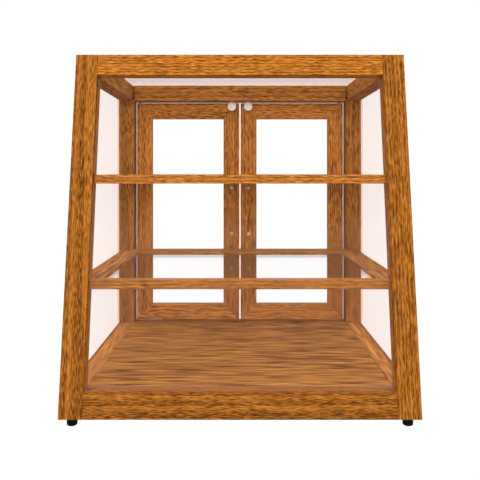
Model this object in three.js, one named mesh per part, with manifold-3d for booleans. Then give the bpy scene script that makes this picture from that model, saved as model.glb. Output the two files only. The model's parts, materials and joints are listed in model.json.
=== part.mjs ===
// A countertop showcase: an oak frame with a front that leans back, clear panes in the front, sides
// and top, two framed glass shelves, and a pair of framed glass doors at the rear on pivot pins.
// Millimetres, +Z up. The object stands at the origin on its four feet, customer side towards -Y,
// doors towards +Y. While it is being built, y = 0 is the front edge of the base and z = 0 is the
// underside of the wood; the group at the end moves it to its place.

import * as THREE from 'three';
import { mergeVertices } from 'three/addons/utils/BufferGeometryUtils.js';
import Module from 'manifold-3d';

const wasm = await Module();
wasm.setup();

// ---------------------------------------------------------------- driving dimensions

const halfWidth = 255;            // outside of the case, from its centre plane
const woodHeight = 529.4;         // underside of the base to the top of the frame
const caseDepth = 435;            // front edge of the base to the rear of the frame
const lean = 95.4 / woodHeight;   // how far the front face goes back for each unit of height
const joint = 0.3;                // hairline left at every joint, face to face

const frameInner = 221.5;         // inner faces of the front posts and of the side frames' rails
const postDepth = 26.5;           // front to rear of a front post, measured level
const baseHeight = 36;            // base rails, and the floor, which is flush with them
const topRailBottom = 495.9;      // underside of the top side rails
const frontRailBottom = 496.5;    // underside of the front top rail
const frontRailRear = 120;        // rear face of the front top rail
const rearRailBottom = 494;       // underside of the rear top rail
const rearFrameFront = 401.8;     // front face of the rear posts and of the rear top rail
const rearPostInner = 219.1;      // inner face of a rear post

const paneThickness = 4;          // front, side and door panes
const topPaneThickness = 3.2;
const paneGrip = 7;               // how far a side, top, shelf or door pane goes into its frame
const frontGrip = 5;              // the same for the front pane
const frontPaneSetback = 3;       // behind the front faces of the posts
const sidePaneInner = 250.6;      // inner face of a side pane
const beadThickness = 4.2;        // bead on the inside of a side pane

const floorThickness = 12;
const tongue = 6;                 // thickness and reach of the floor's tongue
const floorRear = 417;

const shelfThickness = 13.3;      // front and side rails; the rear rail is a thin board on the pane
const shelfLip = 5.3;             // from the top of a shelf down to its pane
const shelfPaneThickness = 4.2;
const shelfRailInner = 204.5;
const shelfRailOuter = 241.5;
const shelfRecess = 11.5;         // how far the side rails are set back under the pane
const shelfPaneHalf = 221;        // half the width of a shelf pane
const shelfFrontRail = 19.1;      // front to rear of a shelf's front rail
const shelfPaneRear = 400;        // the pane runs on under the rear rail, which rests on it
const shelfRearRailFront = 354.6;
const shelfRearRailRear = 413.5;
const shelves = [
  { name: 'lower_shelf', top: 187.5, front: 43.3 },
  { name: 'upper_shelf', top: 342.4, front: 71.1 },
];

const door = {
  meetingEdge: 1.2, hingeEdge: 215.4,   // from the centre plane
  bottom: 39, top: 491.4,
  inner: 417, thickness: 16,
  meetingStile: 33.3, hingeStile: 31.2, topRail: 32.8, bottomRail: 31.8,
};
const pivot = { x: 208.9, y: 427, pinRadius: 3.2, boreRadius: 3.55, depth: 10.5 };
const pivotPlate = { from: 164, to: 214, width: 11, thickness: 1.2 };

const pull = { x: 18, low: 217.9, spacing: 96, reach: 28, barRadius: 5, overhang: 18, postRadius: 4 };
const screw = { headRadius: 3.5, headHeight: 2, shankRadius: 1.9, length: 24 };
const stop = { x: 17, z: 483.9, radius: 8.8, thickness: 3.8, neckWidth: 9, sheet: 1.6, gap: 0.6 };
const strike = { radius: 6, thickness: 1.2 };

const foot = { height: 12.2, topRadius: 8, bottomRadius: 7, x: 238.25, y: 13.25, rearY: 415 };

const roundSides = 32;

// ---------------------------------------------------------------- materials

const oak = new THREE.MeshStandardMaterial({ color: 0xb06c28, roughness: 0.4, metalness: 0 });
const clear = new THREE.MeshStandardMaterial({
  color: 0xf4f6f5, roughness: 0.03, metalness: 0, transparent: true, opacity: 0.2,
});
const steel = new THREE.MeshStandardMaterial({ color: 0xb4b2ae, roughness: 0.35, metalness: 1 });
const nickel = new THREE.MeshStandardMaterial({ color: 0xd8d2cc, roughness: 0.3, metalness: 1 });
const rubber = new THREE.MeshStandardMaterial({ color: 0x141414, roughness: 0.8, metalness: 0 });

// ---------------------------------------------------------------- shape helpers

const X = new THREE.Vector3(1, 0, 0);
const Y = new THREE.Vector3(0, 1, 0);
const Z = new THREE.Vector3(0, 0, 1);

// A box between two values on each axis, given in either order.
function box([xa, xb], [ya, yb], [za, zb]) {
  const geometry = new THREE.BoxGeometry(Math.abs(xb - xa), Math.abs(yb - ya), Math.abs(zb - za));
  return geometry.translate((xa + xb) / 2, (ya + yb) / 2, (za + zb) / 2);
}

// A prism along X whose section is drawn as [y, z] points, with an optional hole.
function prismAlongX(section, [xa, xb], hole) {
  const shape = new THREE.Shape(section.map(([y, z]) => new THREE.Vector2(y, z)));
  if (hole) shape.holes.push(new THREE.Path(hole.map(([y, z]) => new THREE.Vector2(y, z))));
  const geometry = new THREE.ExtrudeGeometry(shape, { depth: Math.abs(xb - xa), bevelEnabled: false });
  geometry.applyMatrix4(new THREE.Matrix4().makeBasis(Y, Z, X));
  return geometry.translate(Math.min(xa, xb), 0, 0);
}

// A prism along Y whose section is drawn as [x, z] points.
function prismAlongY(section, [ya, yb]) {
  const shape = new THREE.Shape(section.map(([x, z]) => new THREE.Vector2(x, z)));
  const geometry = new THREE.ExtrudeGeometry(shape, { depth: yb - ya, bevelEnabled: false });
  geometry.applyMatrix4(new THREE.Matrix4().makeBasis(X, Z, Y.clone().negate()));
  return geometry.translate(0, yb, 0);
}

// A prism along Z whose section is drawn as [x, y] points.
function prismAlongZ(section, [za, zb]) {
  const shape = new THREE.Shape(section.map(([x, y]) => new THREE.Vector2(x, y)));
  const geometry = new THREE.ExtrudeGeometry(shape, { depth: zb - za, bevelEnabled: false });
  return geometry.translate(0, 0, za);
}

// A round solid about the Z axis through (x, y), from its [radius, z] outline.
function turned(outline, x, y) {
  const points = outline.map(([radius, z]) => new THREE.Vector2(radius, z));
  return new THREE.LatheGeometry(points, roundSides).rotateX(Math.PI / 2).translate(x, y, 0);
}

function rodAlongZ(radius, x, y, [za, zb]) {
  return turned([[0, za], [radius, za], [radius, zb], [0, zb]], x, y);
}

function rodAlongY(radius, x, z, [ya, yb]) {
  const geometry = new THREE.CylinderGeometry(radius, radius, yb - ya, roundSides);
  return geometry.translate(x, (ya + yb) / 2, z);
}

function toSolid(geometry) {
  const bare = geometry.clone();
  bare.deleteAttribute('normal');
  bare.deleteAttribute('uv');
  const merged = mergeVertices(bare, 1e-4);
  return new wasm.Manifold(new wasm.Mesh({
    numProp: 3,
    vertProperties: merged.attributes.position.array,
    triVerts: Uint32Array.from(merged.index.array),
  }));
}

function toGeometry(solid) {
  const mesh = solid.getMesh();
  const geometry = new THREE.BufferGeometry();
  geometry.setAttribute('position', new THREE.BufferAttribute(mesh.vertProperties, 3));
  geometry.setIndex(new THREE.BufferAttribute(mesh.triVerts, 1));
  return geometry;
}

function cut(geometry, ...tools) {
  return toGeometry(tools.reduce((solid, tool) => solid.subtract(toSolid(tool)), toSolid(geometry)));
}

function join(first, ...others) {
  return toGeometry(others.reduce((solid, other) => solid.add(toSolid(other)), toSolid(first)));
}

// ---------------------------------------------------------------- assembly

const showcase = new THREE.Group();
const sides = [{ name: 'left', sign: -1 }, { name: 'right', sign: 1 }];

function add(name, geometry, material) {
  const mesh = new THREE.Mesh(geometry, material);
  mesh.name = name;
  showcase.add(mesh);
}

const frontAt = (z) => lean * z;               // front faces of the posts
const postRearAt = (z) => postDepth + lean * z;

// The opening that a side frame leaves for its pane, grown outwards on every edge.
function sideOpening(grow) {
  const low = baseHeight - grow;
  const high = topRailBottom + grow;
  const rear = rearFrameFront + grow;
  return [
    [postRearAt(low) - grow, low], [rear, low], [rear, high], [postRearAt(high) - grow, high],
  ];
}

// The leaning slot or pane of the front, between two distances behind the front faces.
function frontSheet(from, to, grow) {
  const low = baseHeight - grow;
  const high = frontRailBottom + grow;
  return prismAlongX(
    [[frontAt(low) + from, low], [frontAt(low) + to, low],
     [frontAt(high) + to, high], [frontAt(high) + from, high]],
    [-frameInner - grow, frameInner + grow],
  );
}

// --- rebates and grooves, as the solids that are taken out of the frame

const frontPaneDepth = paneThickness * Math.hypot(1, lean);
const frontGroove = frontSheet(
  frontPaneSetback - joint, frontPaneSetback + frontPaneDepth + joint, frontGrip + joint);

const topOpening = (grow) => [
  [-frameInner - grow, frameInner + grow],
  [frontRailRear - grow, rearFrameFront + grow],
];
const topRebate = box(
  ...topOpening(paneGrip + joint), [woodHeight - topPaneThickness - joint, woodHeight + 1]);

const floorFront = postRearAt(baseHeight) + joint;
const floorHalf = frameInner - joint;
const floorGroove = box(
  [-floorHalf - tongue - joint, floorHalf + tongue + joint],
  [floorFront - tongue - joint, floorRear + tongue + joint],
  [baseHeight - floorThickness - joint, baseHeight - floorThickness + tongue + joint],
);

function sideRebate(sign) {
  const inner = sidePaneInner - joint - beadThickness - joint;
  return prismAlongX(sideOpening(paneGrip + joint), [sign * inner, sign * (halfWidth + 1)]);
}

// --- front frame

const frontRailHalf = frameInner - joint;
add('front_bottom_rail', cut(
  prismAlongX(
    [[0, 0], [postRearAt(baseHeight), 0], [postRearAt(baseHeight), baseHeight],
     [frontAt(baseHeight), baseHeight]],
    [-frontRailHalf, frontRailHalf]),
  frontGroove, floorGroove), oak);
add('front_top_rail', cut(
  prismAlongX(
    [[frontAt(frontRailBottom), frontRailBottom], [frontRailRear, frontRailBottom],
     [frontRailRear, woodHeight], [frontAt(woodHeight), woodHeight]],
    [-frontRailHalf, frontRailHalf]),
  frontGroove, topRebate), oak);
add('front_pane', frontSheet(
  frontPaneSetback, frontPaneSetback + frontPaneDepth, frontGrip), clear);

// --- side frames

for (const { name, sign } of sides) {
  add(`front_post_${name}`, cut(
    prismAlongX(
      [[0, 0], [postDepth, 0], [postRearAt(woodHeight), woodHeight], [frontAt(woodHeight), woodHeight]],
      [sign * frameInner, sign * halfWidth]),
    sideRebate(sign), frontGroove, floorGroove, topRebate), oak);
  add(`base_side_rail_${name}`, cut(
    prismAlongX(
      [[postRearAt(0) + joint, 0], [caseDepth, 0], [caseDepth, baseHeight],
       [postRearAt(baseHeight) + joint, baseHeight]],
      [sign * frameInner, sign * halfWidth]),
    sideRebate(sign), floorGroove), oak);
  add(`top_side_rail_${name}`, cut(
    prismAlongX(
      [[postRearAt(topRailBottom) + joint, topRailBottom], [caseDepth, topRailBottom],
       [caseDepth, woodHeight], [postRearAt(woodHeight) + joint, woodHeight]],
      [sign * frameInner, sign * halfWidth]),
    sideRebate(sign), topRebate), oak);
  add(`rear_post_${name}`, cut(
    box([sign * rearPostInner, sign * halfWidth], [rearFrameFront, caseDepth],
      [baseHeight + joint, topRailBottom - joint]),
    sideRebate(sign)), oak);
  add(`side_pane_${name}`, prismAlongX(
    sideOpening(paneGrip), [sign * sidePaneInner, sign * (sidePaneInner + paneThickness)]), clear);
  add(`side_bead_${name}`, prismAlongX(
    sideOpening(paneGrip),
    [sign * (sidePaneInner - joint - beadThickness), sign * (sidePaneInner - joint)],
    sideOpening(0)), oak);
}

// --- rear top rail, top pane, floor and rear base rail

const bore = (sign, [za, zb]) => rodAlongZ(pivot.boreRadius, sign * pivot.x, pivot.y, [za, zb]);

const rearRailHalf = rearPostInner - joint;
add('rear_top_rail', cut(
  box([-rearRailHalf, rearRailHalf], [rearFrameFront, caseDepth], [rearRailBottom, woodHeight]),
  topRebate,
  ...sides.map(({ sign }) => bore(sign, [rearRailBottom - 1, rearRailBottom + pivot.depth]))), oak);
add('top_pane', box(
  ...topOpening(paneGrip), [woodHeight - topPaneThickness, woodHeight]), clear);
add('floor_panel', join(
  box([-floorHalf, floorHalf], [floorFront, floorRear], [baseHeight - floorThickness, baseHeight]),
  box([-floorHalf - tongue, floorHalf + tongue], [floorFront - tongue, floorRear + tongue],
    [baseHeight - floorThickness, baseHeight - floorThickness + tongue])), oak);
add('base_rear_rail', cut(
  box([-floorHalf, floorHalf], [floorRear + joint, caseDepth], [0, baseHeight]),
  floorGroove), oak);

// --- shelves: a pane in a groove of the front and side rails, with a thin rear rail on top of it

for (const { name, top, front } of shelves) {
  const bottom = top - shelfThickness;
  const paneTop = top - shelfLip;
  const frontRailRearFace = front + shelfFrontRail;
  const sideRailFront = frontRailRearFace + joint;
  const paneSpace = (grow) => box(
    [-shelfPaneHalf - grow, shelfPaneHalf + grow],
    [frontRailRearFace - paneGrip - grow, shelfPaneRear + grow],
    [paneTop - shelfPaneThickness - grow, paneTop + grow]);
  const recess = box(
    [-shelfRailInner - shelfRecess, shelfRailInner + shelfRecess],
    [frontRailRearFace, caseDepth], [bottom - 1, paneTop]);
  const framed = (geometry) => cut(geometry, paneSpace(joint), recess);

  add(`${name}_front_rail`, framed(
    box([-frontRailHalf, frontRailHalf], [front, frontRailRearFace], [bottom, top])), oak);
  const rearRailEnd = shelfRailInner - joint;
  const rearRailWide = rearFrameFront + joint;
  add(`${name}_rear_rail`, prismAlongZ(
    [[-rearRailEnd, shelfRearRailFront], [rearRailEnd, shelfRearRailFront],
     [rearRailEnd, rearRailWide], [rearRailHalf, rearRailWide],
     [rearRailHalf, shelfRearRailRear], [-rearRailHalf, shelfRearRailRear],
     [-rearRailHalf, rearRailWide], [-rearRailEnd, rearRailWide]],
    [paneTop + joint, top]), oak);
  for (const { name: side, sign } of sides) {
    add(`${name}_${side}_rail`, framed(box(
      [sign * shelfRailInner, sign * shelfRailOuter], [sideRailFront, rearFrameFront - joint],
      [bottom, top])), oak);
  }
  add(`${name}_pane`, paneSpace(0), clear);
}

// --- doors: mitred frames round a pane

const doorOuter = door.inner + door.thickness;
const doorSpan = [door.inner, doorOuter];
const opening = {
  near: door.meetingEdge + door.meetingStile, far: door.hingeEdge - door.hingeStile,
  low: door.bottom + door.bottomRail, high: door.top - door.topRail,
};
const paneFront = door.inner + (door.thickness - paneThickness) / 2;

// The door pane, or with some growth the groove for it.
function doorSheet(sign, grow) {
  const slack = grow - paneGrip;
  return box(
    [sign * (opening.near - grow), sign * (opening.far + grow)],
    [paneFront - slack, paneFront + paneThickness + slack],
    [opening.low - grow, opening.high + grow]);
}

// A stile from the door's outer edge to the opening, with mitred ends.
function stileSection(sign, edge, inner) {
  return [[edge, door.bottom], [edge, door.top], [inner, opening.high], [inner, opening.low]]
    .map(([x, z]) => [sign * x, z]);
}

// A rail between the two stiles, kept a hairline off both mitres.
function railSection(sign, edge, inner) {
  const gap = joint * Math.SQRT2;
  return [
    [door.meetingEdge + gap, edge], [door.hingeEdge - gap, edge],
    [opening.far - gap, inner], [opening.near + gap, inner],
  ].map(([x, z]) => [sign * x, z]);
}

function pullHandle(sign) {
  const x = sign * pull.x;
  const axis = doorOuter + pull.reach;
  const low = pull.low - pull.overhang;
  const high = pull.low + pull.spacing + pull.overhang;
  const chamfer = 1;
  const bar = turned([
    [0, low], [pull.barRadius - chamfer, low], [pull.barRadius, low + chamfer],
    [pull.barRadius, high - chamfer], [pull.barRadius - chamfer, high], [0, high],
  ], x, axis);
  const screwHeights = [pull.low, pull.low + pull.spacing];
  const posts = screwHeights.map((z) => rodAlongY(pull.postRadius, x, z, [doorOuter + joint, axis]));
  const threads = screwHeights.map(
    (z) => rodAlongY(screw.shankRadius + joint, x, z, [doorOuter - 1, doorOuter + screw.length / 2]));
  return cut(join(bar, ...posts), ...threads);
}

// A pan-head screw through the stile, head on the inside, into the pull's post.
function pullScrew(sign, z) {
  const { headRadius, headHeight, shankRadius, length } = screw;
  const outline = [
    [0, -length], [shankRadius, -length], [shankRadius, 0], [headRadius, 0],
    [headRadius, headHeight * 0.4], [headRadius * 0.75, headHeight * 0.85], [0, headHeight],
  ];
  return turned(outline, 0, 0).rotateX(Math.PI / 2)
    .translate(sign * pull.x, door.inner - joint / 3, z);
}

for (const { name, sign } of sides) {
  const screwHeights = [pull.low, pull.low + pull.spacing];
  const tools = [
    doorSheet(sign, paneGrip + joint),
    bore(sign, [door.top - pivot.depth, door.top + 1]),
    bore(sign, [door.bottom - 1, door.bottom + pivot.depth]),
    rodAlongY(strike.radius + joint, sign * stop.x, stop.z,
      [door.inner - 1, door.inner + strike.thickness + joint]),
    ...screwHeights.map((z) => rodAlongY(
      screw.shankRadius + joint, sign * pull.x, z, [door.inner - 1, doorOuter + 1])),
  ];
  const member = (section) => cut(prismAlongY(section, doorSpan), ...tools);

  add(`door_${name}_hinge_stile`, member(stileSection(sign, door.hingeEdge, opening.far)), oak);
  add(`door_${name}_meeting_stile`, member(stileSection(sign, door.meetingEdge, opening.near)), oak);
  add(`door_${name}_top_rail`, member(railSection(sign, door.top, opening.high)), oak);
  add(`door_${name}_bottom_rail`, member(railSection(sign, door.bottom, opening.low)), oak);
  add(`door_${name}_pane`, doorSheet(sign, paneGrip), clear);
  add(`door_${name}_pull`, pullHandle(sign), steel);
  screwHeights.forEach((z, index) => add(
    `door_${name}_pull_screw_${index + 1}`, pullScrew(sign, z), steel));
  add(`door_${name}_strike`, rodAlongY(
    strike.radius, sign * stop.x, stop.z, [door.inner, door.inner + strike.thickness]), steel);
}

// --- door pivots and stops, fixed to the case

// The pin in the rear top rail, with a collar in the gap over the door.
function topPivot(sign) {
  const { pinRadius, depth } = pivot;
  const collar = pinRadius + 0.7;
  return turned([
    [0, door.top - depth + 1], [pinRadius, door.top - depth + 1], [pinRadius, door.top + joint],
    [collar, door.top + joint], [collar, rearRailBottom - joint], [pinRadius, rearRailBottom - joint],
    [pinRadius, rearRailBottom + depth - 1], [0, rearRailBottom + depth - 1],
  ], sign * pivot.x, pivot.y);
}

// The plate on the base under a door, with the pin that the door stands on.
function bottomPivot(sign) {
  const plateTop = baseHeight + joint + pivotPlate.thickness;
  return join(
    box([sign * pivotPlate.from, sign * pivotPlate.to],
      [pivot.y - pivotPlate.width / 2, pivot.y + pivotPlate.width / 2], [baseHeight + joint, plateTop]),
    rodAlongZ(pivot.pinRadius, sign * pivot.x, pivot.y,
      [baseHeight + joint, door.bottom + pivot.depth - 1]));
}

// A round magnetic stop that hangs in front of a door from a strip under the rear top rail.
function doorStop(sign) {
  const rear = door.inner - stop.gap;
  const neckRear = rear - (stop.thickness - stop.sheet) / 2;
  const top = rearRailBottom - joint;
  const width = [sign * stop.x - stop.neckWidth / 2, sign * stop.x + stop.neckWidth / 2];
  return join(
    rodAlongY(stop.radius, sign * stop.x, stop.z, [rear - stop.thickness, rear]),
    box(width, [neckRear - stop.sheet, neckRear], [stop.z, top]),
    box(width, [neckRear - stop.sheet, doorOuter - 2], [top - 1.1, top]));
}

for (const { name, sign } of sides) {
  add(`top_pivot_${name}`, topPivot(sign), steel);
  add(`bottom_pivot_${name}`, bottomPivot(sign), steel);
  add(`door_stop_${name}`, doorStop(sign), nickel);
}

// --- feet, hollow underneath for a screw

const footRound = 1.4;
const footOutline = [[0, -foot.height + 5], [3, -foot.height + 5], [3, -foot.height]];
for (let step = 0; step <= 4; step += 1) {
  const angle = (step / 4) * (Math.PI / 2);
  footOutline.push([
    foot.bottomRadius - footRound + footRound * Math.sin(angle),
    -foot.height + footRound - footRound * Math.cos(angle),
  ]);
}
footOutline.push([foot.topRadius, -joint / 3], [0, -joint / 3]);

for (const { name, sign } of sides) {
  add(`foot_front_${name}`, turned(footOutline, sign * foot.x, foot.y), rubber);
  add(`foot_rear_${name}`, turned(footOutline, sign * foot.x, foot.rearY), rubber);
}

// ---------------------------------------------------------------- place on the counter

const overallDepth = doorOuter + pull.reach + pull.barRadius;
showcase.position.set(0, -overallDepth / 2, foot.height);
showcase.updateMatrixWorld(true);

export default showcase;
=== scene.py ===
# %% [markdown]
# # A countertop showcase in oak and glass
#
# This lesson dresses a finished joiner's model. The frame file holds 57 solids in metres: oak
# boards, panes, two doors on pivot pins, pulls, stops and feet. None of them is moved here. The
# boards get eased edges and a procedural oak, the panes become thin clear sheets, and the small
# metal and rubber parts are remade with the detail that a simple solid leaves out.

# %% Load the fixed frame
import json
import math
import random
from collections import namedtuple

import bmesh
import bpy
from mathutils import Euler, Matrix, Vector


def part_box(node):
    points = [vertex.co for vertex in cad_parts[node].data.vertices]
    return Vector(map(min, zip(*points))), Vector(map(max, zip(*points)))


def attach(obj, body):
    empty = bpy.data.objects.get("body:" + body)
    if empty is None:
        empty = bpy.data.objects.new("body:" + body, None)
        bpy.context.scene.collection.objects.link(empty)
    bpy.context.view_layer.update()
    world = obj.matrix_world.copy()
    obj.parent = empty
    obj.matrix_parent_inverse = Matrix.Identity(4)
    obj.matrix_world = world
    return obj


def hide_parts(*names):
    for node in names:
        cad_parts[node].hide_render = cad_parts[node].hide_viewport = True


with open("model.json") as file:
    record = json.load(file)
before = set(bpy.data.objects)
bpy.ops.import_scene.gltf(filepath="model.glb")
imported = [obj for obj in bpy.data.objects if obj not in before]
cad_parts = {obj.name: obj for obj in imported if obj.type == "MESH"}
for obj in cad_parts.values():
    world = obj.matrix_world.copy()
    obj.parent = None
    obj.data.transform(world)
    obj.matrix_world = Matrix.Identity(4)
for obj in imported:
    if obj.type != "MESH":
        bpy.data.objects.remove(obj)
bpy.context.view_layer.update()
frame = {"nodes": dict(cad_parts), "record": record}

MM = 0.001
nodes = frame["nodes"]
body_of_node = {
    member: body
    for body, members in frame["record"]["behaviour"]["bodies"].items()
    for member in members
}

# %% [markdown]
# ## The camera
#
# A case like this is best shown level and square to the front, so that its uprights stay upright.
# The eye is just above the upper shelf. Tilting the camera down would make the posts lean together,
# so the view is moved with the lens shift instead, as it is for a tall building.

# %% A level camera with a small shift
camera_data = bpy.data.cameras.new("camera")
camera_data.lens = 45
camera_data.sensor_width = 36
camera_data.shift_y = -0.13958
camera = bpy.data.objects.new("camera", camera_data)
camera.location = (0, -1.0716, 0.3574)
camera.rotation_euler = (math.radians(90), 0, 0)
bpy.context.scene.collection.objects.link(camera)
bpy.context.scene.camera = camera
bpy.context.scene.view_settings.view_transform = "Standard"
print("camera:", camera_data.lens, "mm lens, level, eye at", camera.location.z, "m")

# %% [markdown]
# ## Studio: white all round, brighter from the front and above
#
# The case stands in a white sweep with no shadow under it. The eye sees pure white everywhere,
# while the light that falls on the wood is softer and comes mostly from the front and above. A
# Light Path node tells the two apart: one brightness for what the eye sees, another for lighting.
# Only the sky and the floor use it, never the case.

# %% A white sky with its own brightness for the eye and for the wood
SEEN_STRENGTH = 1.02    # just over white, so that nothing of the sweep looks grey


def emission(tree, colour, strength):
    made = tree.nodes.new("ShaderNodeEmission")
    made.inputs["Color"].default_value = (*colour, 1)
    made.inputs["Strength"].default_value = strength
    return made


def white_for_the_eye(tree, lit_colour, lit_strength):
    """A shader that is pure white to the eye and gives off lit_colour to everything else."""
    path = tree.nodes.new("ShaderNodeLightPath")
    mix = tree.nodes.new("ShaderNodeMixShader")
    seen = emission(tree, (1, 1, 1), SEEN_STRENGTH)
    lit = emission(tree, lit_colour, lit_strength)
    tree.links.new(path.outputs["Is Camera Ray"], mix.inputs[0])
    tree.links.new(lit.outputs[0], mix.inputs[1])
    tree.links.new(seen.outputs[0], mix.inputs[2])
    return mix.outputs[0]


world = bpy.data.worlds.new("studio")
bpy.context.scene.world = world
world.use_nodes = True
world.node_tree.nodes.clear()
sky = world.node_tree.nodes.new("ShaderNodeOutputWorld")
sky_light = white_for_the_eye(world.node_tree, (1, 0.98, 0.97), lit_strength=1.1)
world.node_tree.links.new(sky_light, sky.inputs[0])
print("sky: white to the eye, a little softer on the case")

# %% [markdown]
# The floor is one large plane at the height of the feet. To the eye it is as white as the sky, so
# no horizon line shows. To the wood it is a pale surface that returns some light.

# %% A pale floor
floor_bm = bmesh.new()
bmesh.ops.create_grid(floor_bm, x_segments=1, y_segments=1, size=30)
floor_mesh = bpy.data.meshes.new("studio_floor")
floor_bm.to_mesh(floor_mesh)
floor_bm.free()
studio_floor = bpy.data.objects.new("studio_floor", floor_mesh)
bpy.context.scene.collection.objects.link(studio_floor)
floor_paint = bpy.data.materials.new("studio_floor")
floor_paint.use_nodes = True
floor_paint.node_tree.nodes.clear()
floor_out = floor_paint.node_tree.nodes.new("ShaderNodeOutputMaterial")
floor_light = white_for_the_eye(floor_paint.node_tree, (1, 0.99, 0.98), lit_strength=0.45)
floor_paint.node_tree.links.new(floor_light, floor_out.inputs[0])
floor_mesh.materials.append(floor_paint)
print("floor: one plane,", len(floor_mesh.polygons), "face")

# %% [markdown]
# Two large soft lamps do the rest: one behind the camera for the front faces and the doors, and
# one overhead for the floor panel. Being large, they leave no hard edge of shadow.


# %% Two soft lamps
def soft_lamp(name, size, power, place, aim):
    data = bpy.data.lights.new(name, "AREA")
    data.shape, data.size, data.energy = "SQUARE", size, power
    lamp = bpy.data.objects.new(name, data)
    lamp.location = place
    lamp.rotation_euler = (Vector(aim) - Vector(place)).to_track_quat("-Z", "Y").to_euler()
    bpy.context.scene.collection.objects.link(lamp)


soft_lamp("front_lamp", size=2.2, power=23, place=(0, -2.6, 0.5), aim=(0, 0, 0.27))
soft_lamp("top_lamp", size=1.6, power=8, place=(0, -0.2, 2.2), aim=(0, 0, 0.1))
print("lamps: front and top")

# %% [markdown]
# ## Oak
#
# The boards are flat-sawn oak under a brown varnish. Three things make it look like oak and not
# just brown: the growth rings, the open pores that the early wood leaves as short dark dashes, and
# slow changes of tone from one part of the board to the next.
#
# A flat picture of grain would have to be stretched over every face. Here each board is cut from a
# block of solid pattern instead, as a real board is cut from a log. The rings are circles about a
# pith that lies away from the board's middle, so the end grain, edges and faces agree with each
# other. A Mapping node of the Texture type turns and moves the log for each board, and stretches
# everything along the grain.


# %% Little helpers for node trees
def blank_material(name):
    """A new material with its node tree, its Principled shader and its Object coordinates."""
    material = bpy.data.materials.new(name)
    material.use_nodes = True
    tree = material.node_tree
    coords = tree.nodes.new("ShaderNodeTexCoord").outputs["Object"]
    return material, tree, tree.nodes["Principled BSDF"], coords


def feed(tree, target, value):
    """Links an input to another node's output, or sets it to a plain value."""
    if isinstance(value, bpy.types.NodeSocket):
        tree.links.new(value, target)
    else:
        target.default_value = value


def node(tree, kind, **values):
    """A new node whose inputs are given by name, with spaces written as underscores."""
    made = tree.nodes.new(kind)
    for key, value in values.items():
        name = key.replace("_", " ")
        if name in made.inputs:
            feed(tree, made.inputs[name], value)
        else:
            setattr(made, key, value)
    return made


def noise(tree, vector, scale, detail, **values):
    """A grey noise, from 0 to 1."""
    return node(tree, "ShaderNodeTexNoise", Vector=vector, Scale=scale, Detail=detail,
                **values).outputs["Fac"]


def math_node(tree, operation, *values, clamp=False):
    made = tree.nodes.new("ShaderNodeMath")
    made.operation, made.use_clamp = operation, clamp
    for target, value in zip(made.inputs, values):
        feed(tree, target, value)
    return made.outputs[0]


def ramp(tree, factor, stops):
    """A colour ramp from (position, colour) stops, where a colour may be one grey number."""
    made = tree.nodes.new("ShaderNodeValToRGB")
    elements = made.color_ramp.elements
    while len(elements) < len(stops):
        elements.new(0.5)
    for element, (position, colour) in zip(elements, stops):
        element.position = position
        element.color = (*(colour if isinstance(colour, tuple) else (colour,) * 3), 1)
    tree.links.new(factor, made.inputs[0])
    return made.outputs[0]


def mix_colour(tree, blend, factor, a, b):
    made = tree.nodes.new("ShaderNodeMix")
    made.data_type, made.blend_type = "RGBA", blend
    for target, value in ((made.inputs[0], factor), (made.inputs[6], a), (made.inputs[7], b)):
        feed(tree, target, (*value, 1) if isinstance(value, tuple) else value)
    return made.outputs[2]


def bump(tree, surface, height, strength, distance):
    relief = node(tree, "ShaderNodeBump", Height=height, Strength=strength, Distance=distance)
    tree.links.new(relief.outputs[0], surface.inputs["Normal"])


def srgb(red, green, blue):
    """A colour given as it looks on screen, 0 to 255, as the linear numbers that shaders use."""
    return tuple(
        c / 12.92 if c <= 0.04045 else ((c + 0.055) / 1.055) ** 2.4
        for c in (red / 255, green / 255, blue / 255)
    )


print("helpers: blank_material, feed, node, noise, math_node, ramp, mix_colour, bump, srgb")

# %% [markdown]
# The grain of each board runs along its length: up the posts and stiles, from left to right in the
# rails and the floor, and from front to rear in the side rails. The front posts lean, and their
# grain leans with them. Each direction is written as the turn that brings the log's own length
# (its X axis) to it.

# %% Grain directions
LEAN = math.atan2(95.4, 529.4)    # the front goes back 95.4 mm over 529.4 mm of height
GRAIN = {
    "across": (0, 0, 0),
    "back": (0, 0, math.pi / 2),
    "up": (0, -math.pi / 2, 0),
    "leaning": (0, LEAN - math.pi / 2, math.pi / 2),
}
print("grain:", sorted(GRAIN), "with a lean of", round(math.degrees(LEAN), 1), "degrees")

# %% [markdown]
# Not every board has the same look. The front frame is the darkest and finest, the shelves and the
# floor are broader in the grain, and single boards are lighter or darker, as boards from different
# trees are. Each finish has four colours, from the pore to the light streak, then the streaks'
# fineness, how many times longer than wide they are, their contrast, how clearly the growth rings
# show, and the gloss of the varnish. A board's shade multiplies its colours. Some shades stand for
# wood of another tone, and some only even out the light that reaches the board.

# %% Tones of oak
Oak = namedtuple("Oak", "pore dark body light streaks_per_metre length contrast ringed gloss")
WOOD = {
    "front": Oak((60, 28, 2), (112, 62, 8), (161, 94, 22), (212, 134, 44),
                 streaks_per_metre=1150, length=13, contrast=0.95, ringed=0.12, gloss=0.08),
    "inside": Oak((70, 38, 6), (128, 74, 20), (176, 108, 38), (208, 136, 54),
                  streaks_per_metre=820, length=10, contrast=1.2, ringed=0.12, gloss=0.02),
    "side": Oak((70, 38, 6), (128, 76, 26), (174, 109, 44), (208, 138, 62),
                streaks_per_metre=480, length=18, contrast=0.9, ringed=0.12, gloss=0.02),
    "shelf": Oak((70, 38, 6), (128, 76, 26), (174, 109, 44), (208, 138, 62),
                 streaks_per_metre=330, length=16, contrast=1.3, ringed=0.12, gloss=0.02),
    "floor": Oak((88, 46, 16), (140, 82, 32), (180, 111, 38), (214, 144, 58),
                 streaks_per_metre=250, length=14, contrast=1.75, ringed=0.2, gloss=0.01),
}
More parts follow.
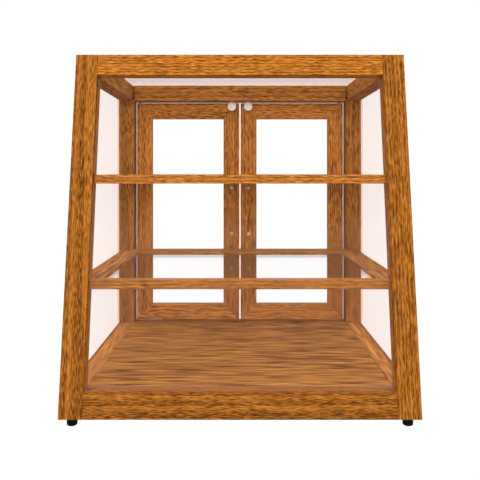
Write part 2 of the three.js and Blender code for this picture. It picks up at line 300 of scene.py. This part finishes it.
SHADES = {
    "front_top_rail": 1.3, "front_bottom_rail": 0.88, "front_post": 0.97,
    "upper_shelf_front_rail": 1.38, "lower_shelf_front_rail": 1.15, "lower_shelf_rear_rail": 0.9,
    "rear_top_rail": 0.95, "rear_post": 0.9, "base_side_rail": 1.42, "top_side_rail": 0.97,
    "door_hinge_stile": 1.23, "door_meeting_stile": 1.04, "door_top_rail": 1.3,
    "door_bottom_rail": 1.35,
}
print("finishes:", sorted(WOOD), "boards with a shade of their own:", len(SHADES))

# %% [markdown]
# Every pattern lives in log space: the log is turned to the board's grain, moved so that its pith
# lies 5 to 11 cm from the board's middle, and stretched along the grain. A slow noise bends it a few
# millimetres, because no tree is straight. Fine streaks, wide patches and growth rings add up to
# one figure, which a ramp colours. The pores are a second noise, kept only where it is darkest and
# mostly in the early wood of a ring. They are darker, duller and a little sunk.


# %% The oak material
RING_SCALE = 72                     # a growth ring every 4.4 mm
PORE_SCALE = 850                    # pores about a millimetre apart
WANDER_SCALE, WANDER = 25, 0.004    # bends about 4 cm across, and how far they go, in metres
PITH_NEAR, PITH_FAR = 0.05, 0.11    # from the board's middle to the pith, in metres


def oak(name, grain, finish, place, seed, shade=1.0):
    """Oak for one board. place is a point in the board, and seed picks its part of the log."""
    pick = random.Random(seed)
    material, tree, surface, coords = blank_material(name)
    wood = WOOD[finish]
    pore_colour, dark, body, light = (
        tuple(min(v * shade, 1) for v in srgb(*colour))
        for colour in (wood.pore, wood.dark, wood.body, wood.light)
    )
    angle, reach = pick.uniform(0, 2 * math.pi), pick.uniform(PITH_NEAR, PITH_FAR)
    pith = Matrix.Rotation(angle, 3, "X") @ Vector((pick.uniform(-3, 3), reach, 0))
    centre = Vector(place) + Euler(GRAIN[grain]).to_matrix() @ pith

    def log(stretch):
        straight = node(tree, "ShaderNodeMapping", vector_type="TEXTURE", Vector=coords,
                        Location=centre, Rotation=GRAIN[grain], Scale=(stretch, 1, 1)).outputs[0]
        wander = node(tree, "ShaderNodeTexNoise", Vector=straight, Scale=WANDER_SCALE, Detail=1)
        bent = node(tree, "ShaderNodeVectorMath", operation="MULTIPLY_ADD")
        for target, value in zip(bent.inputs, (wander.outputs["Color"], (WANDER,) * 3, straight)):
            feed(tree, target, value)
        return bent.outputs[0]

    def add_up(value, weight, rest):
        return math_node(tree, "MULTIPLY_ADD", value, weight, rest)

    pitch = wood.streaks_per_metre
    streaks = noise(tree, log(wood.length), pitch, 1, Roughness=0.5)
    patches = noise(tree, log(10), pitch / 9, 2)
    rings = node(tree, "ShaderNodeTexWave", wave_type="RINGS", rings_direction="X",
                 wave_profile="SAW", Vector=log(14), Scale=RING_SCALE, Distortion=5, Detail=3,
                 Detail_Scale=0.25, Detail_Roughness=0.55).outputs["Fac"]
    early = ramp(tree, rings, [(0, 1), (0.4, 0.7), (0.7, 0.1), (1, 0)])
    level = 0.63 + wood.ringed / 2 + wood.contrast / 2
    ringed = add_up(early, -wood.ringed, add_up(patches, -0.2, level))
    figure = add_up(streaks, -wood.contrast, ringed)
    board = ramp(tree, figure, [(0.2, pore_colour), (0.38, dark), (0.52, body), (0.7, light)])

    pore_noise = noise(tree, log(11), PORE_SCALE, 1, Roughness=0.6)
    dashes = ramp(tree, pore_noise, [(0.36, 1), (0.44, 0)])
    pores = math_node(tree, "MULTIPLY", dashes, add_up(early, 0.7, 0.3), clamp=True)
    pore_cover = math_node(tree, "MULTIPLY", pores, 0.6)
    tree.links.new(mix_colour(tree, "MIX", pore_cover, board, pore_colour),
                   surface.inputs["Base Color"])
    tree.links.new(add_up(pores, 0.2, add_up(streaks, 0.16, 0.6 - 2 * wood.gloss)),
                   surface.inputs["Roughness"])
    surface.inputs["Specular IOR Level"].default_value = wood.gloss
    height = math_node(tree, "SUBTRACT", math_node(tree, "MULTIPLY", streaks, 0.35), pores)
    bump(tree, surface, height, strength=0.3, distance=0.0003)
    return material


print("oak: streaks, patches, rings and pores")

# %% [markdown]
# ## Boards with eased edges
#
# A planed board never ends in a knife edge: a few strokes of sandpaper ease it. The frame's solids
# have perfectly sharp edges, which catch no light and look like a drawing. Each board is therefore
# copied, its loose triangles are welded and its flat faces made whole, and its long outer edges
# are bevelled by less than a millimetre. Short edges, such as those round a bore, stay as they are.
# A face is shaded flat unless the next one is nearly level with it, or the bevels would throw false
# shadows over the flat of a board.


# %% Copy a board and ease its edges
def place_in_scene(name, bm, body, material, smooth_angle=35):
    """Turns a bmesh into a piece at the origin that rides on a body."""
    mesh = bpy.data.meshes.new(name)
    bm.to_mesh(mesh)
    bm.free()
    mesh.materials.append(material)
    piece = bpy.data.objects.new(name, mesh)
    bpy.context.scene.collection.objects.link(piece)
    for polygon in mesh.polygons:
        polygon.use_smooth = True
    mesh.set_sharp_from_angle(angle=math.radians(smooth_angle))
    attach(piece, body)
    return piece


def eased_board(node_name, ease, shortest=6 * MM):
    bm = bmesh.new()
    bm.from_mesh(nodes[node_name].data)
    bmesh.ops.remove_doubles(bm, verts=bm.verts, dist=2e-6)
    bmesh.ops.dissolve_limit(bm, angle_limit=math.radians(0.5), verts=bm.verts, edges=bm.edges)
    long_edges = [
        e for e in bm.edges
        if len(e.link_faces) == 2 and e.is_convex and e.calc_length() > shortest
        and e.calc_face_angle(0) > math.radians(30)
    ]
    bmesh.ops.bevel(bm, geom=long_edges, offset=ease, offset_type="OFFSET", affect="EDGES",
                    segments=2, profile=0.5, material=-1, clamp_overlap=True)
    return bm


print("easing: ready")

# %% [markdown]
# The bead round a side pane is one solid in the frame, but a joiner makes it from four strips cut
# at an angle where they meet, and the grain turns with them. So it is cut through its four corners,
# and its two uprights take a second oak with the grain upwards. A corner is found as the point that
# lies furthest out in its own direction, which also works for the strip that leans.


# %% Mitre a bead
def mitre(bm):
    """Cuts a four-sided bead at its corners, and gives its uprights the second material."""
    points = [Vector((0, v.co.y, v.co.z)) for v in bm.verts]
    corners = [max(points, key=lambda p: p.y * y + p.z * z)
               for y, z in ((-1, -1), (1, -1), (1, 1), (-1, 1))]
    for i, corner in enumerate(corners):
        before, after = corners[i - 1], corners[(i + 1) % 4]
        halfway = (before - corner).normalized() + (after - corner).normalized()
        bmesh.ops.bisect_plane(bm, geom=bm.verts[:] + bm.edges[:] + bm.faces[:], plane_co=corner,
                               plane_no=halfway.cross((1, 0, 0)).normalized())
    ends = [(corners[i], corners[(i + 1) % 4]) for i in range(4)]
    for face in bm.faces:
        middle = face.calc_center_median() * Vector((0, 1, 1))
        gaps = [(middle - a).cross((b - a).normalized()).length for a, b in ends]
        face.material_index = gaps.index(min(gaps)) % 2


print("mitres: ready")

# %% [markdown]
# Each board is named once, with its grain and its finish. Left and right are made by a loop, and so
# are the two shelves.

# %% The list of boards
boards = {
    "front_bottom_rail": ("across", "front"), "front_top_rail": ("across", "front"),
    "rear_top_rail": ("across", "inside"), "base_rear_rail": ("across", "inside"),
    "floor_panel": ("across", "floor"),
}
for side in ("left", "right"):
    boards[f"front_post_{side}"] = ("leaning", "front")
    boards[f"rear_post_{side}"] = ("up", "inside")
    boards[f"base_side_rail_{side}"] = ("back", "side")
    boards[f"top_side_rail_{side}"] = ("back", "side")
    boards[f"side_bead_{side}"] = ("back", "inside")
    for part in ("hinge_stile", "meeting_stile"):
        boards[f"door_{side}_{part}"] = ("up", "inside")
    for part in ("top_rail", "bottom_rail"):
        boards[f"door_{side}_{part}"] = ("across", "inside")
    for shelf in ("lower_shelf", "upper_shelf"):
        boards[f"{shelf}_{side}_rail"] = ("back", "shelf")
for shelf in ("lower_shelf", "upper_shelf"):
    boards[f"{shelf}_front_rail"] = ("across", "front")
    boards[f"{shelf}_rear_rail"] = ("across", "inside")
print("boards:", len(boards))

# %% [markdown]
# Now each board is copied, eased and given its own piece of the log. The floor and the base meet in
# wide flat joints, where the easing is what shows the seam, so theirs is larger.

# %% Dress every board
SEAM_EASE, EASE = 0.7 * MM, 0.3 * MM
FLAT = 20    # degrees between two faces, above which the edge stays sharp
FIRST_SEED, FIRST_UPRIGHT_SEED = 11, 71
for number, (board, (grain, tone)) in enumerate(sorted(boards.items())):
    low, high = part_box(board)
    centre = (low + high) / 2
    shade = SHADES.get(board.replace("_left", "").replace("_right", ""), 1.0)
    finish = oak(f"oak_{board}", grain, tone, centre, number + FIRST_SEED, shade)
    bm = eased_board(board, SEAM_EASE if board.startswith(("floor", "base")) else EASE)
    if "bead" in board:
        mitre(bm)
    piece = place_in_scene(f"oak_{board}", bm, body_of_node[board], finish, FLAT)
    if "bead" in board:
        piece.data.materials.append(
            oak(f"oak_{board}_upright", "up", tone, centre, number + FIRST_UPRIGHT_SEED, shade))
    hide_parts(board)
print("dressed:", len(boards), "boards, the last is", piece.name)

# %% [markdown]
# ## Panes
#
# A clear pane lets nearly everything through when it is looked at square on, and mirrors more and
# more as the eye comes closer to its plane. A full glass shader bends the light twice through two
# millimetre-close faces and costs many samples for nothing. The pane here is a thin bright gloss
# whose opacity follows the viewing angle: Layer Weight's Facing gives the angle alike on front and
# back faces, and its fifth power is the usual shape of that rise.
#
# There are four such finishes. The front and door panes are the clearest. The shelf panes mirror
# the doors and the white room. The side and top panes are seen almost along their plane, where they
# should mirror a lit room that this empty studio doesn't have. Theirs is a stand-in: a warm tint
# that is a painted reflection instead of a mirror, with a weak painted glow in the side panes.


# %% Clear panes
def pane_finish(name, tint, square_on, edge_on, mirror=1.0, glow=0.0):
    material, tree, surface, coords = blank_material(name)
    facing = node(tree, "ShaderNodeLayerWeight", Blend=0.5).outputs["Facing"]
    rise = math_node(tree, "POWER", facing, 5)
    alpha = math_node(tree, "MULTIPLY_ADD", rise, edge_on, square_on)
    tree.links.new(alpha, surface.inputs["Alpha"])
    surface.inputs["Base Color"].default_value = (*tint, 1)
    surface.inputs["Metallic"].default_value = mirror
    # The emission is painted light: a weak orange glow that stands for the warm reflection in the
    # side panes.
    surface.inputs["Emission Color"].default_value = (1, 0.4, 0.15, 1)
    surface.inputs["Emission Strength"].default_value = glow
    wiped = noise(tree, coords, 9, 3)
    tree.links.new(ramp(tree, wiped, [(0.35, 0.02), (0.7, 0.05)]), surface.inputs["Roughness"])
    return material


CLEAR = 0.006    # how much of itself a pane shows when it is looked at square on
pane_glass = pane_finish("pane_glass", srgb(252, 248, 244), CLEAR, 0.15)
side_glass = pane_finish("side_glass", srgb(255, 190, 130), CLEAR, 0.42, mirror=0.1, glow=0.3)
shelf_glass = pane_finish("shelf_glass", srgb(216, 216, 218), CLEAR, 0.85)
top_glass = pane_finish("top_glass", srgb(255, 190, 130), CLEAR, 0.62, mirror=0.2)
print("glass:", [m.name for m in (pane_glass, side_glass, shelf_glass, top_glass)])

# %% [markdown]
# A cut edge is ground matt so that it can't hurt a hand. Real glass carries light from its broad
# faces to its edges, so a ground edge looks brighter than its surroundings. The thin pane above
# can't carry light, and a weak glow in the edge stands for it.


# %% Ground edges
def ground_edge_finish():
    """The matt edge that grinding leaves on a cut pane, with a weak painted glow."""
    material, tree, surface, coords = blank_material("ground_glass_edge")
    frost = noise(tree, coords, 1500, 2)
    tree.links.new(ramp(tree, frost, [(0.3, srgb(236, 236, 228)), (0.7, srgb(252, 250, 246))]),
                   surface.inputs["Base Color"])
    surface.inputs["Emission Color"].default_value = (1, 0.95, 0.9, 1)
    surface.inputs["Emission Strength"].default_value = 0.25
    tree.links.new(math_node(tree, "MULTIPLY_ADD", frost, 0.3, 0.4), surface.inputs["Roughness"])
    return material


ground_edge = ground_edge_finish()
print("edges:", ground_edge.name)

# %% [markdown]
# Each pane is copied like a board. Its two largest faces are the broad ones, and all the others are
# ground. A shelf pane would mirror the doors twice, once in its top and once in its underside, and
# the two pictures would lie a few millimetres apart. Its underside takes the clearest glass, so
# that only one is strong.

# %% Dress every pane
BROAD, EDGE, UNDERSIDE = 0, 1, 2    # a pane's material slots
GLASS = {"side": side_glass, "top": top_glass, "lower": shelf_glass, "upper": shelf_glass}
panes = sorted(n for n in nodes if n.endswith("_pane") or n.startswith("side_pane"))
for name in panes:
    bm = eased_board(name, EASE)
    broad = sorted(bm.faces, key=lambda f: f.calc_area())[-2:]
    for face in bm.faces:
        underside = "shelf" in name and face.normal.z < -0.9
        face.material_index = EDGE if face not in broad else UNDERSIDE if underside else BROAD
    glass = GLASS.get(name.split("_")[0], pane_glass)
    piece = place_in_scene(f"glass_{name}", bm, body_of_node[name], glass, FLAT)
    piece.data.materials.append(ground_edge)
    piece.data.materials.append(pane_glass)
    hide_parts(name)
print("panes:", len(panes))

# %% [markdown]
# ## Metal and rubber
#
# The pulls and screws are brushed steel. Brushing is a noise stretched along the part, so that the
# highlight breaks into fine lines. The stops are a very pale nickel. A real one mirrors a bright
# room, which this studio lacks, so it is made as a light satin paint instead of a mirror: its
# near-white colour is a painted reflection.


# %% Steel and nickel
def metal_finish(name, colour, roughness, stretch, metallic=1.0, mottle=0.25):
    material, tree, surface, coords = blank_material(name)
    drawn = node(tree, "ShaderNodeMapping", Vector=coords, Scale=stretch).outputs[0]
    lines = noise(tree, drawn, 900, 4)
    cloud = math_node(tree, "MULTIPLY", noise(tree, coords, 120, 2), mottle)
    dimmer = tuple(c * 0.75 for c in colour)
    mottled = mix_colour(tree, "MULTIPLY", cloud, colour, dimmer)
    tree.links.new(mottled, surface.inputs["Base Color"])
    surface.inputs["Metallic"].default_value = metallic
    tree.links.new(math_node(tree, "MULTIPLY_ADD", lines, 0.2, roughness - 0.1),
                   surface.inputs["Roughness"])
    bump(tree, surface, lines, strength=0.15, distance=0.0001)
    return material


satin_steel = metal_finish("satin_steel", srgb(190, 188, 184), roughness=0.32, stretch=(1, 1, 0.06))
# The near-white, non-metal colour of the stops is a painted reflection of a bright room.
pale_nickel = metal_finish("pale_nickel", srgb(255, 248, 244), roughness=0.4, stretch=(1, 1, 1),
                           metallic=0.0, mottle=0.06)
print("metal:", [m.name for m in (satin_steel, pale_nickel)])

# %% [markdown]
# Moulded rubber is never a clean black: dust greys it in patches, and the mould leaves a fine
# pebble. Its specular level is low, because a bright highlight would look like hard plastic.


# %% Rubber
def rubber_finish():
    material, tree, surface, coords = blank_material("black_rubber")
    pebble = node(tree, "ShaderNodeTexVoronoi", Vector=coords, Scale=1800).outputs["Distance"]
    dust = noise(tree, coords, 160, 3)
    tree.links.new(ramp(tree, dust, [(0.35, srgb(3, 3, 3)), (0.75, srgb(10, 10, 9))]),
                   surface.inputs["Base Color"])
    tree.links.new(math_node(tree, "MULTIPLY_ADD", dust, 0.2, 0.55), surface.inputs["Roughness"])
    surface.inputs["Specular IOR Level"].default_value = 0.12
    bump(tree, surface, pebble, strength=0.2, distance=0.0001)
    return material


black_rubber = rubber_finish()
print("rubber:", black_rubber.name)

# %% [markdown]
# The pivots and the strikes are plain stamped and turned steel, mostly hidden in the doors. Their
# shape in the frame is already right, so they only take the finish.

# %% Steel on the pivots and strikes
steel_nodes = [name for name in nodes if "pivot" in name or name.endswith("strike")]
for name in steel_nodes:
    nodes[name].data.materials.clear()
    nodes[name].data.materials.append(satin_steel)
print("steel on:", steel_nodes)

# %% [markdown]
# ## Turned parts
#
# Screws, stops, posts and feet are all round. Each is drawn as half a section, from the axis at
# one end to the axis at the other, and spun a full turn. The spin is merged, the poles are welded,
# and the normals are found again after the weld. A lathe could also be a Screw modifier on a curve,
# but the spin leaves a plain mesh that can be cut and joined further.


# %% Spin a half section into a solid
def turned(outline, steps=40):
    """A round solid about Z from (radius, height) points in millimetres."""
    bm = bmesh.new()
    rim = [bm.verts.new((r * MM, 0, z * MM)) for r, z in outline]
    line = [bm.edges.new(pair) for pair in zip(rim, rim[1:])]
    bmesh.ops.spin(bm, geom=rim + line, cent=(0, 0, 0), axis=(0, 0, 1), angle=2 * math.pi,
                   steps=steps, use_merge=True)
    bmesh.ops.remove_doubles(bm, verts=bm.verts, dist=1e-7)
    bmesh.ops.recalc_face_normals(bm, faces=bm.faces)
    return bm


def arc(centre_r, centre_z, radius, start, end, count=5):
    """Points on a quarter or other arc of a half section, angles in degrees from outward."""
    angles = [math.radians(start + (end - start) * i / count) for i in range(count + 1)]
    return [(centre_r + radius * math.cos(a), centre_z + radius * math.sin(a)) for a in angles]


TOWARDS_FRONT = Matrix.Rotation(math.radians(90), 4, "X")    # its Z comes to -Y
TOWARDS_REAR = Matrix.Rotation(math.radians(-90), 4, "X")    # its Z comes to +Y


def moved(bm, place, turn=Matrix.Identity(4)):
    bmesh.ops.transform(bm, matrix=Matrix.Translation(place) @ turn, verts=bm.verts)
    return bm


def joined(first, *others):
    """Adds other bmeshes to the first one."""
    for other in others:
        spare = bpy.data.meshes.new("spare")
        other.to_mesh(spare)
        other.free()
        first.from_mesh(spare)
        bpy.data.meshes.remove(spare)
    return first


print("turning: ready")

# %% [markdown]
# ### Screws
#
# The pulls are held from inside by two pan-head screws each. The head is a low dome with a cross
# recess. The recess is cut by insetting the top face, drawing the new ring into the outline of a
# cross, and pushing it down. The thread is a row of rings and not a helix: nobody sees more of it
# than its outline, and rings come from the same spin. The section stops at the rim of the flat top,
# so that the top is one face, which is filled after the spin.


# %% A cross recess and a pan-head screw
def cross_recess(bm, depth, arm, half_width):
    """Sinks a cross into the flat round face at the top of a screw head, sizes in millimetres."""
    top = max(bm.faces, key=lambda f: (f.calc_center_median().z, len(f.verts)))
    bmesh.ops.inset_region(bm, faces=[top], thickness=0.25 * MM, depth=0)
    for vert in top.verts:
        angle = math.atan2(vert.co.y, vert.co.x) % (math.pi / 2)
        angle = min(angle, math.pi / 2 - angle)
        reach = arm if angle < 0.01 else min(arm / math.cos(angle), half_width / math.sin(angle))
        vert.co.x, vert.co.y = Vector((vert.co.x, vert.co.y)).normalized() * reach * MM
    pushed = bmesh.ops.extrude_face_region(bm, geom=[top])
    floor = [v for v in pushed["geom"] if isinstance(v, bmesh.types.BMVert)]
    bmesh.ops.translate(bm, verts=floor, vec=(0, 0, -depth * MM))
    bmesh.ops.scale(bm, verts=floor, vec=(0.7, 0.7, 1))
    bmesh.ops.delete(bm, geom=[top], context="FACES_ONLY")


def pan_head_screw(head_radius, head_height, shank_radius, length, steps=24):
    """A screw along Z with its head up and the underside of the head at 0, in millimetres."""
    threads, root, tip = 8, 0.84 * shank_radius, 0.6 * shank_radius
    pitch = (length - 2) / threads
    outline = [(0, -length), (tip, -length), (shank_radius, -length + 0.8)]
    for i in range(threads):
        crest = -length + 1.2 + (length - 2) * i / threads
        outline += [(shank_radius, crest), (root, crest + pitch / 2)]
    outline += [(shank_radius, -0.4), (shank_radius, 0), (head_radius - 0.2, 0), (head_radius, 0.2),
                (head_radius, head_height * 0.4)]
    outline += [(head_radius * math.cos(a), head_height * (0.4 + 0.6 * math.sin(a)))
                for a in (0.4, 0.8, 1.1)]
    bm = turned(outline, steps)
    bmesh.ops.holes_fill(bm, edges=[e for e in bm.edges if e.is_boundary], sides=0)
    bmesh.ops.recalc_face_normals(bm, faces=bm.faces)
    cross_recess(bm, head_height * 0.6, head_radius * 0.5, head_radius * 0.13)
    return bm


print("screws: ready")

# %% [markdown]
# A screw goes in from the inside of the door, so its head points to the front. It takes its place
# from the box of the frame's own screw.

# %% Four screws in the doors
PULL_SCREW = {"head_radius": 3.5, "head_height": 2, "shank_radius": 1.9, "length": 23.8}
for side in ("left", "right"):
    for number in (1, 2):
        node_name = f"door_{side}_pull_screw_{number}"
        low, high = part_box(node_name)
        head = Vector(((low.x + high.x) / 2, low.y + PULL_SCREW["head_height"] * MM,
                       (low.z + high.z) / 2))
        screw = moved(pan_head_screw(**PULL_SCREW), head, TOWARDS_FRONT)
        piece = place_in_scene(f"pan_head_screw_{side}_{number}", screw, body_of_node[node_name],
                               satin_steel)
        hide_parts(node_name)
print("screws: 4, the last head at", [round(c, 4) for c in head])

# %% [markdown]
# ### Pulls
#
# Each pull is a straight bar that stands off the door on two short posts. The bar has a small
# round at its ends, and a thin collar sits where each post meets the wood and where it meets the
# bar. Bar, posts and collars are separate turned solids that run into each other, as the welded
# parts of a real pull do.

# %% Bar pulls
for side in ("left", "right"):
    node_name = f"door_{side}_pull"
    low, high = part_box(node_name)
    x = (low.x + high.x) / 2
    bar_radius = (high.x - low.x) / 2 / MM
    length = (high.z - low.z) / MM
    axis_y = high.y - bar_radius * MM
    outline = [(0, 0)] + arc(bar_radius - 1, 1, 1, -90, 0) + arc(
        bar_radius - 1, length - 1, 1, 0, 90) + [(0, length)]
    bar = moved(turned(outline), (x, axis_y, low.z))
    reach = (axis_y - low.y) / MM
    post_outline = ([(0, 0), (5.4, 0)] + arc(5.2, 0.9, 0.5, 0, 90, 3)
                    + [(4.3, 1.5), (4, 2.2), (4, reach - 5.6), (4.3, reach - 4.8), (4.3, reach - 3),
                       (0, reach - 3)])
    posts = []
    for number in (1, 2):
        screw_low, screw_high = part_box(f"door_{side}_pull_screw_{number}")
        posts.append(moved(turned(post_outline), (x, low.y, (screw_low.z + screw_high.z) / 2),
                           TOWARDS_REAR))
    piece = place_in_scene(f"bar_pull_{side}", joined(bar, *posts), body_of_node[node_name],
                           satin_steel)
    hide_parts(node_name)
    print(piece.name, len(piece.data.polygons), "faces")

# %% [markdown]
# ### Door stops
#
# A pale round magnet holder hangs in front of each door from a strip under the rear top rail. The
# disc has a raised rim and a shallow dish with a flat button in its middle. The neck and the strip
# are one bent piece of sheet: a thin block whose top is extruded back under the rail.

# %% Round door stops
NECK_WIDTH, SHEET, STRIP = 9, 1.6, 1.1    # millimetres: the neck is thicker than its strip
for side in ("left", "right"):
    node_name = f"door_stop_{side}"
    low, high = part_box(node_name)
    x = (low.x + high.x) / 2
    radius = (high.x - low.x) / 2 / MM
    centre_z = low.z + radius * MM
    thick = 3.8
    outline = ([(0, 0)] + arc(radius - 0.5, 0.5, 0.5, -90, 0, 3)
               + arc(radius - 0.9, thick - 0.9, 0.9, 0, 90)
               + [(radius - 2, thick), (radius - 2.6, thick - 1.2), (4.2, thick - 1.4),
                  (3.9, thick - 0.6), (3.6, thick - 0.5), (0, thick - 0.5)])
    disc = moved(turned(outline, 48), (x, low.y + thick * MM, centre_z), TOWARDS_FRONT)
    sheet_y = low.y + (thick - 1.1) * MM    # the rear face of the neck, sunk into the disc
    strip_z = high.z - STRIP * MM
    neck = bmesh.new()
    bmesh.ops.create_cube(neck, size=1)
    bmesh.ops.scale(neck, verts=neck.verts, vec=(NECK_WIDTH * MM, SHEET * MM, high.z - centre_z))
    bmesh.ops.translate(neck, verts=neck.verts,
                        vec=(x, sheet_y - SHEET / 2 * MM, (high.z + centre_z) / 2))
    bmesh.ops.bisect_plane(neck, geom=neck.verts[:] + neck.edges[:] + neck.faces[:],
                           plane_co=(0, 0, strip_z), plane_no=(0, 0, 1))
    back = [f for f in neck.faces if f.normal.y > 0.9 and f.calc_center_median().z > strip_z]
    strip = bmesh.ops.extrude_face_region(neck, geom=back)
    bmesh.ops.translate(neck, verts=[v for v in strip["geom"] if isinstance(v, bmesh.types.BMVert)],
                        vec=(0, high.y - sheet_y, 0))
    bmesh.ops.delete(neck, geom=back, context="FACES_ONLY")
    bmesh.ops.recalc_face_normals(neck, faces=neck.faces)
    piece = place_in_scene(f"magnet_stop_{side}", joined(disc, neck), body_of_node[node_name],
                           pale_nickel)
    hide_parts(node_name)
    print(piece.name, len(piece.data.polygons), "faces")

# %% [markdown]
# ### Feet
#
# The case stands on four black rubber buttons. Each tapers a little, has a rounded tread, and is
# held by a short screw in a counterbore. The screw is hidden from every normal view, but a part
# that is turned over should not show an empty hole.

# %% Rubber feet with their screws
BORE_DEPTH, TREAD_INSET, TREAD_ROUND = 6, 0.6, 2.6    # millimetres
FOOT_SCREW = {"head_radius": 2.7, "head_height": 1.6, "shank_radius": 1.4, "length": 4}
HEAD_DOWN = Matrix.Rotation(math.pi, 4, "X")
for name in sorted(n for n in nodes if n.startswith("foot_")):
    low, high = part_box(name)
    centre = Vector(((low.x + high.x) / 2, (low.y + high.y) / 2, low.z))
    height = (high.z - low.z) / MM
    wide = (high.x - low.x) / 2 / MM
    tread = wide - TREAD_INSET
    outline = ([(0, BORE_DEPTH), (3, BORE_DEPTH), (3, 0.5)] + arc(3.5, 0.5, 0.5, 180, 270, 3)
               + arc(tread - TREAD_ROUND, TREAD_ROUND, TREAD_ROUND, -90, 0, 7)
               + [(wide - 0.4, height - 2.4), (wide - 0.3, height - 1.9),
                  (wide - 0.1, height - 1.6), (wide, height - 1.2), (wide, height - 0.2),
                  (wide - 0.2, height), (0, height)])
    piece = place_in_scene(f"rubber_{name}", moved(turned(outline), centre), body_of_node[name],
                           black_rubber)
    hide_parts(name)
    under_head = centre + Vector((0, 0, (BORE_DEPTH - 0.1) * MM))
    screw = moved(pan_head_screw(**FOOT_SCREW), under_head, HEAD_DOWN)
    place_in_scene(f"screw_of_{name}", screw, body_of_node[name], satin_steel)
print("feet: 4")
